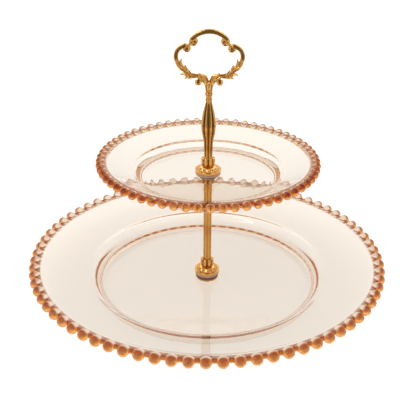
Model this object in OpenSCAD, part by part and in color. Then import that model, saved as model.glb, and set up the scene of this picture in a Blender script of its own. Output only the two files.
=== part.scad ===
// Two-tier cake stand: two pressed glass plates with beaded rims, held on a fluted metal
// column by screws and soft washers, with a scrolled lifting handle that unscrews at the top.
// Origin: centre of the lower plate's foot ring on the table. +Z up, handle ring in the XZ plane.

/* [Lower plate] */
// Radius of the circle through the lower bead centres
lower_bead_circle_r = 160.9; // [130:1:190]
// Radius of one lower bead
lower_bead_r = 4.9; // [4.2:0.1:5.6]
// Number of lower beads
lower_bead_count = 76; // [60:2:80]
// Radius of the flat floor of the lower plate
lower_floor_r = 98.8; // [70:1:110]
// Radius where the lower well wall meets the rim
lower_well_r = 113.6; // [90:1:125]
// Height of the lower well wall
lower_wall_h = 9.5; // [6:0.5:14]
// Height of the lower bead circle over the floor
lower_bead_h = 18.7; // [14:0.5:26]

/* [Upper plate] */
// Radius of the circle through the upper bead centres
upper_bead_circle_r = 96; // [80:1:120]
// Radius of one upper bead
upper_bead_r = 3.75; // [3.2:0.05:4.4]
// Number of upper beads
upper_bead_count = 62; // [48:2:66]
// Radius of the flat floor of the upper plate
upper_floor_r = 59; // [46:1:66]
// Radius where the upper well wall meets the rim
upper_well_r = 70; // [58:1:78]
// Height of the upper well wall
upper_wall_h = 7.5; // [5:0.5:11]
// Height of the upper bead circle over the floor
upper_bead_h = 14; // [11:0.5:20]

/* [Glass] */
// Thickness of the glass
glass_t = 4.5; // [3.6:0.1:5.5]
// Height of the lower foot ring
foot_h = 6; // [5.6:0.1:8]
// Width of the flat under a foot ring
foot_flat_w = 2.4; // [1.6:0.2:4]
// Height of the foot ring of the upper plate
upper_foot_h = 2; // [1.4:0.2:3]
// Radius of the hole in the middle of each plate
plate_hole_r = 4.2; // [3:0.2:5]

/* [Column] */
// Distance from the lower floor to the upper floor
tier_gap = 103.9; // [90:1:130]
// Radius of the lower post
post_r = 3.9; // [3.6:0.1:5]
// Number of flutes round a post
flute_count = 8; // [6:1:10]
// Radius of the baluster at its belly
belly_r = 6.65; // [5.6:0.1:8]
// Radius of the baluster's stem at its foot
stem_r = 3.8; // [3.4:0.1:4.4]
// Radius of the baluster at its neck
neck_r = 2.55; // [2.4:0.05:3]
// Height of the baluster from its collar to its neck
baluster_h = 52; // [44:1:64]
// Radius of the round flanges that press on the glass
flange_r = 11.8; // [10:0.2:14]
// Thickness of the soft washers that lie on the glass
top_gasket_t = 2.8; // [2:0.1:3.4]
// Thickness of the soft washers under the glass
gasket_t = 1.2; // [0.8:0.1:1.8]
// Outer radius of the lobed collars
collar_r = 6.4; // [5.8:0.1:7.5]
// Height of the collars
collar_h = 8.6; // [7:0.2:11]

/* [Handle] */
// Half width of the handle ring, to the middle of the rod
handle_half_w = 28; // [24:0.5:34]
// Radius of the rod that the ring is bent from
rod_r = 1.7; // [1.4:0.05:2.1]
// Height from the foot of the handle to the top of the arch
handle_h = 54.7; // [46:0.5:66]

/* [Fasteners] */
// Radius of the main screw threads
screw_r = 2; // [1.8:0.05:2.2]
// Radius of the handle's threaded stud
stud_r = 1.5; // [1.3:0.05:1.7]
// Rise of the handle in one turn
stud_pitch = 0.5; // [0.4:0.05:0.7]
// Clearance round each thread
thread_gap = 0.05; // [0.02:0.01:0.1]

/* [Hidden] */
$fn = 64;
// colours of the pieces
glass = [0.93, 0.80, 0.66, 0.45];
vinyl = [0.80, 0.72, 0.70];
gold = [0.83, 0.62, 0.28];
steel = [0.72, 0.70, 0.66];
// heights of the glass floors
lower_floor_z = foot_h + glass_t;
upper_floor_z = lower_floor_z + tier_gap;
lower_bead_z = lower_floor_z + lower_bead_h;
upper_bead_z = upper_floor_z + upper_bead_h;
// number of steps along each curved outline
curve_steps = 14;
// how far the rim's edge reaches into a bead
bead_bite = 2.6;
// rounding radius of the rim's edge, as a share of the glass thickness
lip_share = 0.5;
// a bead's turn about the axis, as a share of one pitch
upper_bead_shift = 0.23;

// heights up the column
flange_rim_h = 2.6;
flange_h = 5.0;
lower_flange_z = lower_floor_z + top_gasket_t;
lower_collar_z = lower_flange_z + flange_h;
lower_post_z = lower_collar_z + collar_h;
upper_under_z = upper_floor_z - glass_t;
under_collar_h = 6.4;
under_collar_z = upper_under_z - gasket_t - under_collar_h;
upper_flange_z = upper_floor_z + top_gasket_t;
upper_collar_z = upper_flange_z + flange_h;
upper_post_z = upper_collar_z + collar_h;
neck_z = upper_post_z + baluster_h;
// the turned bead and waist above the baluster's neck
neck_bead_h = 3.2;
waist_h = 2.6;
ring_z = neck_z + neck_bead_h + waist_h;
ring_h = 2.6;
handle_z = ring_z + ring_h + 0.15;
ring_r = neck_r + 1.2;
neck_bead_r = neck_r + 0.6;

// base hardware under the lower plate
base_gasket_t = min(gasket_t, foot_h * 0.18);
base_washer_t = 1.1;
base_washer_z = foot_h - base_gasket_t - base_washer_t;
screw_head_h = min(2.2, base_washer_z - 0.9);
screw_head_r = screw_r * 2.1;
screw_len = 34;
middle_stud_len = 50;
handle_stud_down = 9.5;
handle_stud_up = 6;
thread_bore_r = screw_r + thread_gap;
stud_bore_r = stud_r + thread_gap;
bore_end_gap = 1;
// radius at the foot of a thread, as a share of its outer radius
thread_share = 0.86;
screw_pitch = 0.7;
// how deep the base screw's head sits in its washer
head_sink = 0.4;
// cross slot of the base screw
slot_w = 0.9;
slot_depth = 0.9;
gasket_hole_r = screw_r + 0.4;
base_screw_z = base_washer_z - head_sink;
middle_stud_z = (under_collar_z + upper_post_z - middle_stud_len) / 2;

// flange: radii of the dish's outside and of the raised seat
dish_r = flange_r - 1.4;
seat_r = collar_r + 0.6;
ridge_wire_r = 0.55;
ridge_slope = 102;
// straight flutes of the posts: cutter radius, and its axis outside the post
flute_cut_r = 1.25;
flute_cut_out = 0.85;
// baluster: stem and belly, as shares of its height
stem_share = 0.24;
belly_share = 0.57;
stem_top_r = stem_r + 0.45;
baluster_steps = 12;
// long flutes: depth at the belly and at the ends, and the ends as shares of the height
flute_depth = 1.0;
flute_end_depth = 0.28;
flute_low = 0.24;
flute_high = 0.96;

// scales of the handle's drawing, which is 56 wide to its rod's middle and 54.7 high
wide = handle_half_w / 28;
high = handle_h / 54.7;
scroll_r = rod_r * 2.1;
lobe_r = 9.5 * wide;
sweep_r = 21 * wide;
arch_r = 19.6 * wide;
arch_half = 50;
// the sweep carries on from the lobe at this angle below the level
join_a = 18;

// ---------- shared shapes ----------

// S-shaped blend from 0 to 1
function blend(t) = (1 - cos(180 * t)) / 2;

// height of the glass top over the floor at radius r
function well_top(r, floor_r, well_r, wall_h, rim_r, rim_h) =
    r < well_r ? wall_h * blend((r - floor_r) / (well_r - floor_r))
    : wall_h + (rim_h - wall_h) * pow((r - well_r) / (rim_r - well_r), 1.15);

// half section of a plate: hole, flat floor, curved wall, sloping rim, rounded edge
module plate_section(floor_r, well_r, wall_h, rim_r, rim_h, ring_h) {
    wall = [for (i = [0 : curve_steps]) floor_r + (well_r - floor_r) * i / curve_steps];
    rim = [for (i = [1 : curve_steps / 2]) well_r + (rim_r - well_r) * i * 2 / curve_steps];
    stations = concat(wall, rim);
    top = [for (r = stations) [r, well_top(r, floor_r, well_r, wall_h, rim_r, rim_h)]];
    bottom = [for (p = top) [p[0], p[1] - glass_t]];
    polygon(concat([[plate_hole_r, 0]], top,
        [for (i = [len(bottom) - 1 : -1 : 0]) bottom[i]], [[plate_hole_r, -glass_t]]));
    translate([rim_r, rim_h - glass_t * lip_share]) circle(r = glass_t * lip_share);
    foot_mid = floor_r + (well_r - floor_r) * 0.3;
    polygon([[foot_mid - foot_flat_w, -glass_t + 1], [foot_mid - foot_flat_w / 2, -glass_t - ring_h],
        [foot_mid + foot_flat_w / 2, -glass_t - ring_h], [foot_mid + foot_flat_w * 1.4, -glass_t + 2]]);
}

// a plate with its ring of beads, floor top at z = 0
module beaded_plate(floor_r, well_r, wall_h, circle_r, bead_r, count, bead_z, ring_h, shift) {
    rim_r = circle_r - bead_bite - glass_t * lip_share + 0.6;
    rim_h = bead_z + glass_t * lip_share;
    rotate_extrude($fn = 180)
        plate_section(floor_r, well_r, wall_h, rim_r, rim_h, ring_h);
    for (i = [0 : count - 1])
        rotate([0, 0, -90 + (i + shift) * 360 / count])
            translate([circle_r, 0, bead_z]) sphere(r = bead_r, $fn = 24);
}

// soft round washer
module gasket(r, t, hole_r) {
    difference() {
        cylinder(h = t, r = r);
        translate([0, 0, -1]) cylinder(h = t + 2, r = hole_r);
    }
}

// dished flange: upright rim, sunk ring, raised seat with small radial ridges
module flange(ridges) {
    rotate_extrude()
        polygon([[thread_bore_r, 0], [flange_r - 0.8, 0], [flange_r, 0.8], [flange_r, flange_rim_h - 0.5],
            [flange_r - 0.5, flange_rim_h], [dish_r, flange_rim_h], [dish_r - 0.9, flange_rim_h - 0.7],
            [seat_r + 0.6, flange_rim_h + 0.5], [seat_r - 0.8, flange_h], [thread_bore_r, flange_h]]);
    for (i = [0 : ridges - 1])
        rotate([0, 0, (i + 0.5) * 360 / ridges])
            translate([seat_r - 1.4, 0, flange_h - 1.55])
                rotate([0, ridge_slope, 0]) cylinder(h = dish_r - seat_r + 1.2, r = ridge_wire_r, $fn = 16);
}

// one upright lobe with round ends
module lobe(r, h) {
    rotate_extrude($fn = 32) intersection() {
        square([r + 1, h]);
        union() {
            translate([0, r * 0.6]) square([r, h - r * 1.2]);
            translate([0, r * 0.6]) scale([1, 0.6]) circle(r = r);
            translate([0, h - r * 0.6]) scale([1, 0.6]) circle(r = r);
        }
    }
}

// collar with upright lobes round a plain core
module lobed_collar(h) {
    lobe_r = collar_r * 0.31;
    difference() {
        union() {
            cylinder(h = h, r = collar_r * 0.68);
            for (i = [0 : flute_count - 1])
                rotate([0, 0, (i + 0.5) * 360 / flute_count])
                    translate([collar_r - lobe_r, 0, h * 0.04]) lobe(lobe_r, h * 0.92);
        }
        translate([0, 0, -1]) cylinder(h = h + 2, r = thread_bore_r);
    }
}

// saw-tooth thread drawn as close rings, from z = 0 to len
module thread(r, pitch, len) {
    turns = floor(len / pitch);
    root_r = r * thread_share;
    rotate_extrude($fn = 32)
        polygon(concat([[0, 0]], [for (i = [0 : turns - 1], s = [0, 1])
            [s == 0 ? root_r : r, i * pitch + (s == 0 ? 0 : pitch / 2)]],
            [[root_r, turns * pitch], [root_r, len], [0, len]]));
}

// ---------- glass ----------

module lower_plate() color(glass)
    translate([0, 0, lower_floor_z])
        beaded_plate(lower_floor_r, lower_well_r, lower_wall_h, lower_bead_circle_r, lower_bead_r,
            lower_bead_count, lower_bead_h, foot_h, 0);

module upper_plate() color(glass)
    translate([0, 0, upper_floor_z])
        beaded_plate(upper_floor_r, upper_well_r, upper_wall_h, upper_bead_circle_r, upper_bead_r,
            upper_bead_count, upper_bead_h, upper_foot_h, upper_bead_shift);

// ---------- soft washers ----------

module lower_plate_top_gasket() color(vinyl)
    translate([0, 0, lower_floor_z]) gasket(flange_r - 0.5, top_gasket_t, gasket_hole_r);

module lower_plate_bottom_gasket() color(vinyl)
    translate([0, 0, foot_h - base_gasket_t]) gasket(flange_r - 1.2, base_gasket_t, gasket_hole_r);

module upper_plate_top_gasket() color(vinyl)
    translate([0, 0, upper_floor_z]) gasket(flange_r - 0.5, top_gasket_t, gasket_hole_r);

module upper_plate_bottom_gasket() color(vinyl)
    translate([0, 0, upper_under_z - gasket_t]) gasket(collar_r + 1.6, gasket_t, gasket_hole_r);

// ---------- column ----------

module base_washer() color(gold)
    translate([0, 0, base_washer_z]) gasket(flange_r - 1.6, base_washer_t, thread_bore_r);

module base_screw() color(steel) {
    difference() {
        translate([0, 0, base_washer_z - screw_head_h])
            cylinder(h = screw_head_h, r1 = screw_head_r - 0.8, r2 = screw_head_r);
        for (a = [0, 90])
            rotate([0, 0, a])
                translate([-screw_head_r * 0.6, -slot_w / 2, base_washer_z - screw_head_h - 1])
                    cube([screw_head_r * 1.2, slot_w, slot_depth + 1]);
    }
    translate([0, 0, base_screw_z]) thread(screw_r, screw_pitch, screw_len);
}

module lower_flange() color(gold)
    translate([0, 0, lower_flange_z]) flange(flute_count * 2);

module lower_collar() color(gold)
    translate([0, 0, lower_collar_z]) lobed_collar(collar_h);

module lower_post() color(gold) {
    h = under_collar_z - lower_post_z;
    screw_top = base_screw_z + screw_len;
    difference() {
        translate([0, 0, lower_post_z]) cylinder(h = h, r = post_r);
        for (i = [0 : flute_count - 1])
            rotate([0, 0, -90 + i * 360 / flute_count])
                translate([post_r + flute_cut_out, 0, lower_post_z - 1])
                    cylinder(h = h + 2, r = flute_cut_r, $fn = 24);
        translate([0, 0, lower_post_z - 1])
            cylinder(h = screw_top + bore_end_gap - lower_post_z + 1, r = thread_bore_r);
        translate([0, 0, middle_stud_z - bore_end_gap])
            cylinder(h = under_collar_z - middle_stud_z + bore_end_gap + 1, r = thread_bore_r);
    }
}

module under_collar() color(gold)
    translate([0, 0, under_collar_z]) lobed_collar(under_collar_h);

module middle_stud() color(steel)
    translate([0, 0, middle_stud_z]) thread(screw_r, screw_pitch, middle_stud_len);

module upper_flange() color(gold)
    translate([0, 0, upper_flange_z]) flange(flute_count * 2);

module upper_collar() color(gold)
    translate([0, 0, upper_collar_z]) lobed_collar(collar_h);

// outline radius of the baluster at share t of its height
function baluster_r(t) =
    t < stem_share ? stem_r + (stem_top_r - stem_r) * t / stem_share
    : t < belly_share ? stem_top_r + (belly_r - stem_top_r)
        * blend((t - stem_share) / (belly_share - stem_share))
    : neck_r + (belly_r - neck_r) * cos(90 * (t - belly_share) / (1 - belly_share));

module upper_post() color(gold) {
    shares = [for (i = [0 : baluster_steps]) i / baluster_steps];
    outline = [for (t = shares) [baluster_r(t), baluster_h * t]];
    // each long flute follows an arc over the belly, shallow at both ends
    flute_r = belly_r * 0.27;
    low = [baluster_r(flute_low) + flute_r - flute_end_depth, baluster_h * flute_low];
    mid = [belly_r + flute_r - flute_depth, baluster_h * belly_share];
    high = [baluster_r(flute_high) + flute_r - flute_end_depth, baluster_h * flute_high];
    // circle through the three points
    a = [mid[0] - low[0], mid[1] - low[1]];
    b = [high[0] - low[0], high[1] - low[1]];
    d = 2 * (a[0] * b[1] - a[1] * b[0]);
    arc_x = low[0] + (b[1] * (a * a) - a[1] * (b * b)) / d;
    arc_z = low[1] + (a[0] * (b * b) - b[0] * (a * a)) / d;
    arc_r = norm([mid[0] - arc_x, mid[1] - arc_z]);
    low_a = atan2(low[1] - arc_z, low[0] - arc_x);
    high_a = atan2(high[1] - arc_z, high[0] - arc_x);
    top = ring_z - upper_post_z;
    translate([0, 0, upper_post_z]) difference() {
        rotate_extrude() polygon(concat([[0, 0]], outline,
            [[neck_bead_r, baluster_h + neck_bead_h * 0.3], [neck_bead_r, baluster_h + neck_bead_h * 0.8],
            [neck_r + 0.25, baluster_h + neck_bead_h], [neck_r + 0.25, top - 0.8],
            [neck_bead_r, top], [0, top]]));
        for (i = [0 : flute_count - 1])
            rotate([0, 0, -90 + i * 360 / flute_count]) {
                translate([arc_x, 0, arc_z]) rotate([90, 0, 0])
                    rotate_extrude(angle = high_a - low_a, start = low_a, $fn = 120)
                        translate([arc_r, 0]) circle(r = flute_r, $fn = 24);
                translate([stem_r + flute_cut_out, 0, -1])
                    cylinder(h = baluster_h * 0.27, r = flute_cut_r, $fn = 24);
            }
        translate([0, 0, -1])
            cylinder(h = 1 + bore_end_gap + middle_stud_z + middle_stud_len - upper_post_z, r = thread_bore_r);
        translate([0, 0, top - handle_stud_down - bore_end_gap])
            cylinder(h = handle_stud_down + bore_end_gap + 1, r = stud_bore_r);
    }
}

// ---------- handle ----------

module captive_ring() color(gold)
    translate([0, 0, ring_z]) difference() {
        rotate_extrude() polygon([[0, 0], [ring_r - 0.6, 0], [ring_r, ring_h * 0.3], [ring_r, ring_h * 0.7],
            [ring_r - 0.6, ring_h], [0, ring_h]]);
        translate([0, 0, -1]) cylinder(h = ring_h + 2, r = stud_bore_r);
    }

module handle_stud() color(steel)
    translate([0, 0, ring_z - handle_stud_down])
        thread(stud_r, stud_pitch, handle_stud_down + ring_h + handle_stud_up);

// part of a round rod bent to radius r in the XZ plane, from angle a0 over angle a
module bent_rod(r, wire_r, a0, a)
    rotate([90, 0, 0]) rotate_extrude(angle = a, start = a0, $fn = 120)
        translate([r, 0]) circle(r = wire_r, $fn = 24);

// scroll end: ring, thin web and round button
module scroll(r, wire_r) {
    bent_rod(r - wire_r, wire_r, 0, 360);
    rotate([90, 0, 0]) translate([0, 0, -wire_r * 0.45]) cylinder(h = wire_r * 0.9, r = r - wire_r, $fn = 32);
    sphere(r = wire_r * 0.8, $fn = 24);
}

// pointed leaf tip in the XZ plane
module leaf_tip(root, tip, w, t) {
    dir = [tip[0] - root[0], tip[1] - root[1]];
    side = [-dir[1], dir[0]] / norm(dir) * w / 2;
    rotate([90, 0, 0]) translate([0, 0, -t / 2]) linear_extrude(t)
        polygon([root + side, tip, root - side]);
}

module handle() color(gold)
    translate([0, 0, handle_z]) difference() {
        union() {
            handle_ring();
            handle_neck();
        }
        translate([0, 0, -1]) cylinder(h = handle_stud_up + 2, r = stud_bore_r);
    }

// arch, side lobes, sweeps, scrolls and pointed leaves of the ring
module handle_ring() {
    upper_scroll = [12.6 * wide, 44.4 * high];
    lower_scroll = [18.8 * wide, 38.7 * high];
    neck_scroll = [9.3 * wide, 9.2 * high];
    lobe_mid = [handle_half_w - lobe_r, 30.6 * high];
    sweep_mid = lobe_mid + (sweep_r - lobe_r) * [-cos(join_a), sin(join_a)];
    translate([0, 0, handle_h - rod_r - arch_r]) bent_rod(arch_r, rod_r, 90 - arch_half, arch_half * 2);
    for (s = [0, 1]) mirror([s, 0, 0]) {
        translate([upper_scroll[0], 0, upper_scroll[1]]) scroll(scroll_r, rod_r * 0.85);
        translate([lower_scroll[0], 0, lower_scroll[1]]) scroll(scroll_r, rod_r * 0.85);
        translate([neck_scroll[0], 0, neck_scroll[1]]) scroll(scroll_r * 0.9, rod_r * 0.8);
        // short link between the two upper scrolls
        leaf_tip([upper_scroll[0] - 0.6, upper_scroll[1] + 0.6], [lower_scroll[0] + 2.6, lower_scroll[1] - 2.6],
            rod_r * 3, rod_r * 1.5);
        translate([lobe_mid[0], 0, lobe_mid[1]]) bent_rod(lobe_r, rod_r, -join_a - 6, join_a + 106);
        translate([sweep_mid[0], 0, sweep_mid[1]]) bent_rod(sweep_r, rod_r * 0.8, -86, 70);
        // pointed leaves where the lobe meets the sweep
        leaf_tip([24.6 * wide, 20.5 * high], [23.2 * wide, 29.6 * high], 4.4, rod_r * 1.3);
        leaf_tip([21.4 * wide, 17.2 * high], [20.4 * wide, 24.0 * high], 4.6, rod_r * 1.5);
        leaf_tip([17.5 * wide, 17.0 * high], [25.6 * wide, 14.9 * high], 4.0, rod_r * 1.3);
        leaf_tip([13.6 * wide, 14.2 * high], [22.0 * wide, 11.6 * high], 3.4, rod_r * 1.5);
    }
}

// fork with two leaf ends that carries the ring, and the neck below it
module handle_neck() {
    for (s = [0, 1]) mirror([s, 0, 0]) {
        translate([0, 0, 3.2 * high]) rotate([0, 31, 0]) cylinder(h = 15.6 * high, r1 = 2.7, r2 = 1.9, $fn = 32);
        leaf_tip([3.6 * wide, 10.5 * high], [8.9 * wide, 17.6 * high], 5.6, rod_r * 1.9);
    }
    rotate([90, 0, 0]) translate([0, 0, -rod_r * 0.9]) linear_extrude(rod_r * 1.8)
        polygon([[-3.1, 0.8], [3.1, 0.8], [6.2 * wide, 12.4 * high], [-6.2 * wide, 12.4 * high]]);
    rotate_extrude() polygon([[0, 0], [ring_r - 0.7, 0], [3.05, 1.6], [3.05, 3.4], [3.8, 6.2 * high],
        [2, 9 * high], [0, 10 * high]]);
}

lower_plate();
lower_plate_top_gasket();
lower_plate_bottom_gasket();
base_washer();
base_screw();
lower_flange();
lower_collar();
lower_post();
under_collar();
middle_stud();
upper_plate();
upper_plate_top_gasket();
upper_plate_bottom_gasket();
upper_flange();
upper_collar();
upper_post();
captive_ring();
handle_stud();
handle();
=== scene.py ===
"""Looks for the two-tier cake stand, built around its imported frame.

Every piece is turned, bent or shaped in the frame's own metres. The glass plates, the washers,
the column castings and the handle each have a class that makes their meshes and dresses them;
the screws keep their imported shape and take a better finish.
"""

import logging
import math
from dataclasses import dataclass
from enum import Enum
from typing import Callable, Iterable, Sequence

import bmesh
import bpy
from mathutils import Matrix, Vector


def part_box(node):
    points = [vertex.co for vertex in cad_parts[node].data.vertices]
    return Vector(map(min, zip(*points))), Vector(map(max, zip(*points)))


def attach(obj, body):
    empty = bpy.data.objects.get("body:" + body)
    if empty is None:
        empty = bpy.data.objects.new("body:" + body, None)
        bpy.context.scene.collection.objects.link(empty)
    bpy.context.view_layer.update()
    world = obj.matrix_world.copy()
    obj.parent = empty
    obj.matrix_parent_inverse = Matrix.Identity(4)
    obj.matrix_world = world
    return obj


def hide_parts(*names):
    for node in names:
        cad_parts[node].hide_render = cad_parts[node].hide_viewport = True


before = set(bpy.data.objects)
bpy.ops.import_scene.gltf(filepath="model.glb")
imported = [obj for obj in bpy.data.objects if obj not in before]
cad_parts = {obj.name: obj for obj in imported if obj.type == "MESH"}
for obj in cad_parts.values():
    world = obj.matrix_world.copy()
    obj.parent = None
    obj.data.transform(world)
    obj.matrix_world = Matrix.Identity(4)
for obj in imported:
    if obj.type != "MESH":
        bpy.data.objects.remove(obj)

LOG = logging.getLogger("cake_stand")
MM = 0.001
FULL_TURN = 2 * math.pi
WELD = 2e-6
FRONT = -math.pi / 2
# Marks that the lathe leaves on points: the glass puts its bead tint and painted amber shade on them,
# and the gold its painted shade in hollows.
BEAD_MARK = 0.5
GAP_MARK = 1.0

Point = tuple[float, float]
Colour = tuple[float, float, float]


class Body(Enum):
    """The moving groups of the stand, by the names that the frame gives them."""

    BASE = "base"
    COLUMN = "column"
    UPPER_TIER = "upper_tier"
    CAPTIVE_RING = "captive_ring"
    HANDLE = "handle"


class Slot(Enum):
    """The record's material slots."""

    GLASS = "glass"
    GASKET = "gasket"
    GOLD = "gold_cast"
    STEEL = "steel"


# ---------------------------------------------------------------- shader helpers


class Wire:
    """A shader socket that adds, subtracts and multiplies with others and with numbers."""

    def __init__(self, net: "Net", socket: bpy.types.NodeSocket) -> None:
        """Keeps the socket and the net that it belongs to."""
        self.net = net
        self.socket = socket

    def _join(self, kind: str, first: "Wire | float", second: "Wire | float") -> "Wire":
        """Adds one Math node.

        Args:
            kind: The Math node's operation.
            first: Left value.
            second: Right value.

        Returns:
            The Math node's result.
        """
        return self.net.add("ShaderNodeMath", {"operation": kind}, {0: first, 1: second})

    def __add__(self, other: "Wire | float") -> "Wire":
        """Sum."""
        return self._join("ADD", self, other)

    def __radd__(self, other: "Wire | float") -> "Wire":
        """Sum with a number on the left."""
        return self._join("ADD", other, self)

    def __sub__(self, other: "Wire | float") -> "Wire":
        """Difference."""
        return self._join("SUBTRACT", self, other)

    def __rsub__(self, other: "Wire | float") -> "Wire":
        """Difference with a number on the left."""
        return self._join("SUBTRACT", other, self)

    def __mul__(self, other: "Wire | float") -> "Wire":
        """Product."""
        return self._join("MULTIPLY", self, other)

    def __rmul__(self, other: "Wire | float") -> "Wire":
        """Product with a number on the left."""
        return self._join("MULTIPLY", other, self)


class Net:
    """The node tree of one finish."""

    def __init__(self, tree: bpy.types.NodeTree) -> None:
        """Empties the tree, ready for new nodes."""
        self.tree = tree
        tree.nodes.clear()

    def add(
        self,
        kind: str,
        settings: dict[str, object] | None = None,
        inputs: dict[int | str, object] | None = None,
        output: int | str = 0,
    ) -> Wire:
        """Adds any node.

        Args:
            kind: The node's type name.
            settings: Attributes set on the node; "stops" holds a colour ramp's stops.
            inputs: A value or a wire for each named or numbered socket.
            output: The socket to hand back.

        Returns:
            The chosen output socket.
        """
        node = self.tree.nodes.new(kind)
        for name, value in (settings or {}).items():
            if name == "stops":
                self._fill_ramp(node.color_ramp, value)
            else:
                setattr(node, name, value)
        for name, value in (inputs or {}).items():
            if isinstance(value, Wire):
                self.tree.links.new(value.socket, node.inputs[name])
            else:
                node.inputs[name].default_value = value
        outputs = node.outputs
        return Wire(self, outputs[output]) if len(outputs) else Wire(self, None)

    @staticmethod
    def _fill_ramp(ramp: bpy.types.ColorRamp, stops: Sequence[tuple[float, Colour]]) -> None:
        """Sets a colour ramp's stops."""
        while len(ramp.elements) < len(stops):
            ramp.elements.new(0.5)
        for element, (place, colour) in zip(ramp.elements, stops):
            element.position = place
            element.color = (*colour, 1.0)

    def noise(self, scale: float, detail: float = 3.0, output: int | str = 0) -> Wire:
        """Cloudy pattern in object space."""
        place = self.add("ShaderNodeTexCoord", output="Object")
        return self.add(
            "ShaderNodeTexNoise", None, {"Vector": place, "Scale": scale, "Detail": detail}, output
        )

    def smooth(
        self, value: Wire, low: float, high: float, start: float = 0.0, end: float = 1.0
    ) -> Wire:
        """Eases from one number to another while a value passes through a range.

        Args:
            value: The value that is watched.
            low: Where the range begins.
            high: Where the range ends.
            start: The number below the range.
            end: The number above it.

        Returns:
            The eased number.
        """
        return self.add(
            "ShaderNodeMapRange",
            {"interpolation_type": "SMOOTHSTEP"},
            {0: value, 1: low, 2: high, 3: start, 4: end},
        )

    def mirrored(self) -> Wire:
        """1 where light has come straight off polished metal or vinyl, not off or through glass."""
        glossy = self.add("ShaderNodeLightPath", output="Is Glossy Ray")
        through = self.add("ShaderNodeLightPath", output="Is Transmission Ray")
        sharp = self.add("ShaderNodeLightPath", output="Is Singular Ray")
        return glossy * (1 - through) * (1 - sharp)

    def glassy(self) -> Wire:
        """1 where light has come straight off the sharp surface of glass."""
        through = self.add("ShaderNodeLightPath", output="Is Transmission Ray")
        return self.add("ShaderNodeLightPath", output="Is Singular Ray") * (1 - through)

    def mark(self) -> Wire:
        """Reads the mark that the lathe leaves on beads and in hollows, 0 to 1: it places painted shade
        in the gold's hollows and, on the glass, the bead tint and the painted amber shade.
        """
        return self.add("ShaderNodeAttribute", {"attribute_name": "mark"}, output="Fac")

    def blend(self, share: Wire | float, low: object, high: object) -> Wire:
        """Mixes two colours."""
        return self.add(
            "ShaderNodeMix", {"data_type": "RGBA"}, {0: share, 6: low, 7: high}, output=2
        )

    def bump(self, height: Wire, strength: float, depth: float) -> Wire:
        """Turns a height pattern into a surface relief."""
        return self.add(
            "ShaderNodeBump", None, {"Height": height, "Strength": strength, "Distance": depth}
        )


def new_net(name: str) -> tuple[bpy.types.Material, Net]:
    """Makes an empty node material.

    Args:
        name: The material's name.

    Returns:
        The material and its net.
    """
    material = bpy.data.materials.new(name)
    material.use_nodes = True
    return material, Net(material.node_tree)


# ---------------------------------------------------------------- finishes


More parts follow.
